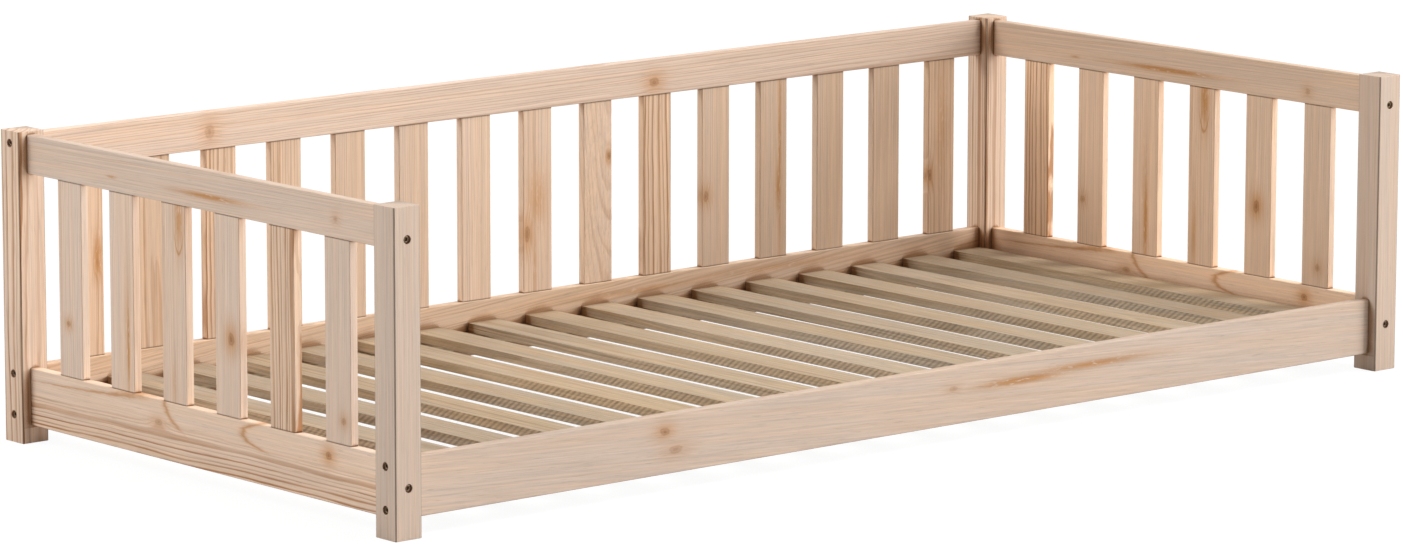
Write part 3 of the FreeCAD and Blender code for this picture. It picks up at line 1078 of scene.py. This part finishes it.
def make_row(nodes, wide_axis, low_rail, high_rail, sizes):
    """The slats of one run of fence, from one pattern with its tenons."""
    foot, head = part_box(low_rail)[1].z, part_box(high_rail)[0].z

    def body(node):
        """The corners of a slat between its rails."""
        low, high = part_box(node)
        return Vector((low.x, low.y, foot)), Vector((high.x, high.y, head))

    first = body(nodes[0])
    pattern = cut_board("slat_pattern", *first, Z, sizes.slat_edge, sizes.end_edge)
    combine(pattern, core(nodes[0], half_tenon(sizes, wide_axis)), operation="UNION")
    # An end slat's front side is painted paler, as painted light.
    across, through, pale = (X, Y, ()) if wide_axis == X else (-Y, X, (-Y,))
    for node in nodes:
        low, high = body(node)
        slat = copy_of(pattern, node, Matrix.Translation(low - first[0]))
        mark_ends(slat, Z, low, high, sizes, pale)
        complete(slat, node, Face(low, high, -Z, across, through), (high - low).dot(wide_axis) / MM)
    bpy.data.objects.remove(pattern)


def make_deck_pattern(node, sizes):
    """One deck slat, its narrow sides divided finely enough for the saw marks."""
    low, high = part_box(node)
    slat = cut_board("deck_pattern", low, high, Y, sizes.deck_edge, sizes.end_edge, segments=2)
    length, thickness = high.y - low.y, high.z - low.z
    enter("EDIT")
    # The long edges into 20, each piece of them into 24 again, and the upright edges into 5.
    for axis, least, cuts in (
            (Y, 0.8 * length, 19), (Y, 0.0225 * length, 23), (Z, 0.5 * thickness, 4)):
        pick(slat, runs_along(axis), longer_than(least))
        bpy.ops.mesh.subdivide(number_cuts=cuts)
    enter("OBJECT")
    return slat


SAW_FADE = 0.12           # share of a slat's length over which the saw marks grow to full depth
SAW_LEAST = 0.10          # their strength before that
SAW_ON_TOP = 0.25         # how much of their painted shade and bump shows on a slat's rounded upper edges
SAW_SKIN = 0.2 * MM       # points this close to a narrow side belong to it
UPPER_EDGE = (0.3 * MM, 29 * MM)          # how far those edges reach down, and where they begin
DECK_PAINTED_LIGHT = 0.35      # painted light: how much paler the narrow sides are painted


def saw_sides(slat, low, high, marks, shift):
    """Cuts saw marks into a deck slat's narrow sides, and writes where each point lies in them."""
    length = high.y - low.y
    middle = (low.x + high.x) / 2
    places = []
    for vertex in slat.data.vertices:
        along, up = high.y - vertex.co.y, vertex.co.z - low.z
        grown = min(1.0, max(0.0, (along / length - marks.start) / SAW_FADE))
        strength = SAW_LEAST + (1.0 - SAW_LEAST) * grown
        phase = (along - marks.lean * up) / marks.pitch + shift
        if min(vertex.co.x - low.x, high.x - vertex.co.x) < SAW_SKIN:
            tooth = phase - math.floor(phase)
            depth = marks.depth * strength * math.sin(math.pi * tooth) ** 2
            vertex.co.x += depth if vertex.co.x < middle else -depth
        else:
            down, out = high.z - vertex.co.z, abs(vertex.co.x - middle)
            strength *= SAW_ON_TOP if down < UPPER_EDGE[0] and out > UPPER_EDGE[1] else 0.0
        places.append((phase, up / (high.z - low.z), strength))
    write_vectors(slat.data, "saw", places)


def screw_mouths(low, high, outward):
    """Where screws enter a ledge, their direction and how deep their heads lie.

    The deck's screws come from below, and the ledge's own go outwards into its rail.
    """
    found = []
    ledge_middle = (low + high) / 2
    for screw_low, screw_high in separate_shapes("wood_screws"):
        size, middle = screw_high - screw_low, (screw_low + screw_high) / 2
        if inside(low, high, middle):
            direction = Z if size.z > size.y else outward
            start = middle - direction * (abs(size.dot(direction)) / 2)
            surface = abs((high - low).dot(direction)) / 2
            sunk = (start - ledge_middle).dot(direction) + surface
            found.append((start - direction * sunk, direction, round(sunk + MM, 5)))
    return in_order(found)


def make_ledge(node, sizes):
    low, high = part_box(node)
    ledge = cut_board(node, low, high, X, 2 * sizes.end_edge, sizes.end_edge)
    inner = Y if node.startswith("front") else -Y
    tools, patterns = [], {}
    for start, direction, depth in screw_mouths(low, high, -inner):
        if depth not in patterns:
            patterns[depth] = turned(
                "screw_hole", [(-MM, SCREW_RECESS), (depth, SCREW_RECESS)], vertices=24)
        tools.append(stand(patterns[depth], start, direction))
    for pattern in patterns.values():
        bpy.data.objects.remove(pattern)
    combine(ledge, joined(tools))
    write_vectors(ledge.data, "saw", [(0.0, 0.0, 0.0)] * len(ledge.data.vertices))
    face = Face(low, high, X, Z, inner)
    complete(ledge, node, face, (high.z - low.z) / MM, "sawn_pine")


# ---- Operators ---------------------------------------------------------------------------------

class MakePosts(bpy.types.Operator):
    """Corner posts with their recesses for the bolt heads"""
    bl_idname = "floor_bed.posts"
    bl_label = "Posts"

    def execute(self, context):
        scene = context.scene
        all_bolts = bolts()
        for face in FACES:
            for side in SIDES:
                make_post(f"{face}_{side}_post", scene.bed_boards, scene.bed_bolts, all_bolts)
        return {"FINISHED"}


class MakeRails(bpy.types.Operator):
    """Rails of the front, the back and the two ends"""
    bl_idname = "floor_bed.rails"
    bl_label = "Rails"

    def execute(self, context):
        sizes = context.scene.bed_boards
        make_rail("front_rail", X, sizes, [])
        for slats, wide_axis, low_rail, high_rail in fence_rows():
            make_rail(low_rail, wide_axis, sizes, slats)
            make_rail(high_rail, wide_axis, sizes, slats)
        return {"FINISHED"}


class MakeFence(bpy.types.Operator):
    """Upright slats of the back and the two ends"""
    bl_idname = "floor_bed.fence"
    bl_label = "Fence Slats"

    def execute(self, context):
        for row in fence_rows():
            make_row(*row, context.scene.bed_boards)
        return {"FINISHED"}


class MakeDeck(bpy.types.Operator):
    """Deck slats with saw marks on their narrow sides, and the ledges that carry them"""
    bl_idname = "floor_bed.deck"
    bl_label = "Deck"

    def execute(self, context):
        sizes, marks = context.scene.bed_boards, context.scene.bed_saw
        nodes = [f"deck_slat_{number + 1:02d}" for number in range(DECK_SLATS)]
        pattern = make_deck_pattern(nodes[0], sizes)
        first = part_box(nodes[0])[0]
        for node in nodes:
            low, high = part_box(node)
            slat = copy_of(pattern, node, Matrix.Translation(low - first))
            mark_ends(slat, Y, low, high, sizes, (X, -X), DECK_PAINTED_LIGHT)
            saw_sides(slat, low, high, marks, random.Random(node).random())
            face = Face(low, high, -Y, X, -Z)
            complete(slat, node, face, (high.x - low.x) / MM, "sawn_pine")
        bpy.data.objects.remove(pattern)
        for face in FACES:
            make_ledge(f"{face}_slat_ledge", sizes)
        return {"FINISHED"}


class MakeBolts(bpy.types.Operator):
    """Connector bolts with hexagon sockets, and the finish of the screws and inserts"""
    bl_idname = "floor_bed.bolts"
    bl_label = "Bolts"

    def execute(self, context):
        places = bolts()
        longest = max(length for start, inward, length in places)
        pattern = bolt_pattern(context.scene.bed_bolts, longest)
        whole = joined([stand(pattern, start, inward) for start, inward, length in places])
        whole.name = "connector_bolts"
        bpy.data.objects.remove(pattern)
        coat(whole, "bronze_plate")
        install(whole, "connector_bolts")
        for node in ("wood_screws", "threaded_inserts"):
            coat(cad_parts[node], "zinc_plate")
        return {"FINISHED"}


class MakeStudio(bpy.types.Operator):
    """Plain pale floor, soft light and the camera"""
    bl_idname = "floor_bed.studio"
    bl_label = "Studio"

    def execute(self, context):
        studio = context.scene.bed_studio
        make_floor()
        make_sky(studio)
        for name, (right, up) in LAMPS.items():
            add_lamp(name, math.radians(right), math.radians(up), getattr(studio, name), studio)
        add_camera(studio)
        context.scene.view_settings.view_transform = "Standard"
        return {"FINISHED"}


# ---- Studio ------------------------------------------------------------------------------------

# Degrees from the front towards the right, and upwards.
LAMPS = {"low_key": (50, 15), "high_key": (55, 55), "fill": (-125, 40)}
WHITE = (1, 1, 1, 1)
FLOOR_SIZE = 60
FLOOR_LIT = (0.80, 0.80, 0.80, 1)         # the floor that sends light back to the bed
FLOOR_SEEN = (0.10, 0.10, 0.10, 1)        # the floor that is seen, and takes the bed's faint shadow
FLOOR_GLOW = 0.94                         # and the glow that makes it white


def show(graph, kind, unseen, seen):
    """Lights the bed with one shader, and shows the other directly, in gloss and through glass."""
    path = graph.add("LightPath").outputs
    direct = graph.most(path["Is Camera Ray"], path["Is Glossy Ray"], path["Is Transmission Ray"])
    chosen = graph.add("MixShader", Fac=direct)
    graph.feed(chosen.inputs[1], unseen)
    graph.feed(chosen.inputs[2], seen)
    graph.add(kind, Surface=chosen.outputs["Shader"])


def make_floor():
    """Pale floor that looks white and keeps a faint shadow."""
    deselect()
    bpy.ops.mesh.primitive_plane_add(size=FLOOR_SIZE, location=(0, 0, 0))
    floor = bpy.context.object
    floor.name = "studio_floor"
    material = bpy.data.materials.new("studio_floor")
    graph = empty_graph(material)
    white = graph.add("AddShader")
    glow = graph.add("Emission", Color=WHITE, Strength=FLOOR_GLOW).outputs["Emission"]
    graph.feed(white.inputs[0], graph.add("BsdfDiffuse", Color=FLOOR_SEEN).outputs["BSDF"])
    graph.feed(white.inputs[1], glow)
    plain = graph.add("BsdfDiffuse", Color=FLOOR_LIT).outputs["BSDF"]
    show(graph, "OutputMaterial", plain, white.outputs["Shader"])
    floor.data.materials.append(material)


def make_sky(studio):
    """Even light all round, and white where it is seen."""
    world = bpy.data.worlds.new("studio_sky")
    bpy.context.scene.world = world
    graph = empty_graph(world)
    light, white = (
        graph.add("Background", Color=WHITE, Strength=strength).outputs["Background"]
        for strength in (studio.sky, 1.0))
    show(graph, "OutputWorld", light, white)


def add_lamp(name, right, up, power, studio):
    """A large soft lamp that faces the bed."""
    deselect()
    level = X * math.sin(right) - Y * math.cos(right)
    place = (level * math.cos(up) + Z * math.sin(up)) * studio.lamp_distance
    turn = (-place).to_track_quat("-Z", "Y").to_euler()
    bpy.ops.object.light_add(type="AREA", location=place, rotation=turn)
    lamp = bpy.context.object
    lamp.name = name
    lamp.data.shape = "DISK"
    lamp.data.size = studio.lamp_size
    lamp.data.energy = power


def add_camera(studio):
    deselect()
    bpy.ops.object.camera_add(location=studio.eye)
    camera = bpy.context.object
    camera.name = "camera"
    turn = Matrix.Rotation(-studio.heading, 3, "Z")
    turn @= Matrix.Rotation(math.pi / 2 - studio.dip, 3, "X")
    turn @= Matrix.Rotation(studio.roll, 3, "Z")
    camera.rotation_euler = turn.to_euler()
    camera.data.sensor_width = 36.0
    camera.data.lens = studio.lens
    camera.data.clip_end = 100.0
    bpy.context.scene.camera = camera


class BedPanel(bpy.types.Panel):
    """The steps that build the bed"""
    bl_idname = "VIEW3D_PT_floor_bed"
    bl_label = "Floor Bed"
    bl_space_type = "VIEW_3D"
    bl_region_type = "UI"
    bl_category = "Floor Bed"

    def draw(self, context):
        for name, (label, kind) in GROUPS.items():
            box = self.layout.box()
            box.label(text=label)
            for key in kind.__annotations__:
                box.prop(getattr(context.scene, name), key)
        for step in STEPS:
            self.layout.operator(step.bl_idname)


STEPS = (MakePosts, MakeRails, MakeFence, MakeDeck, MakeBolts, MakeStudio)
GROUPS = {
    "bed_boards": ("Boards", BoardSizes), "bed_saw": ("Saw Marks", SawMarks),
    "bed_bolts": ("Bolts", BoltSizes), "bed_finishes": ("Finishes", Finishes),
    "bed_studio": ("Studio", Studio)}
CLASSES = (*(kind for label, kind in GROUPS.values()), *STEPS, BedPanel)


def register():
    for kind in CLASSES:
        bpy.utils.register_class(kind)
    for name, (label, kind) in GROUPS.items():
        setattr(bpy.types.Scene, name, bpy.props.PointerProperty(type=kind))


def unregister():
    for name in GROUPS:
        delattr(bpy.types.Scene, name)
    for kind in reversed(CLASSES):
        bpy.utils.unregister_class(kind)


def main():
    register()
    bpy.ops.floor_bed.posts()
    bpy.ops.floor_bed.rails()
    bpy.ops.floor_bed.fence()
    bpy.ops.floor_bed.deck()
    bpy.ops.floor_bed.bolts()
    bpy.ops.floor_bed.studio()


if __name__ == "__main__":
    main()
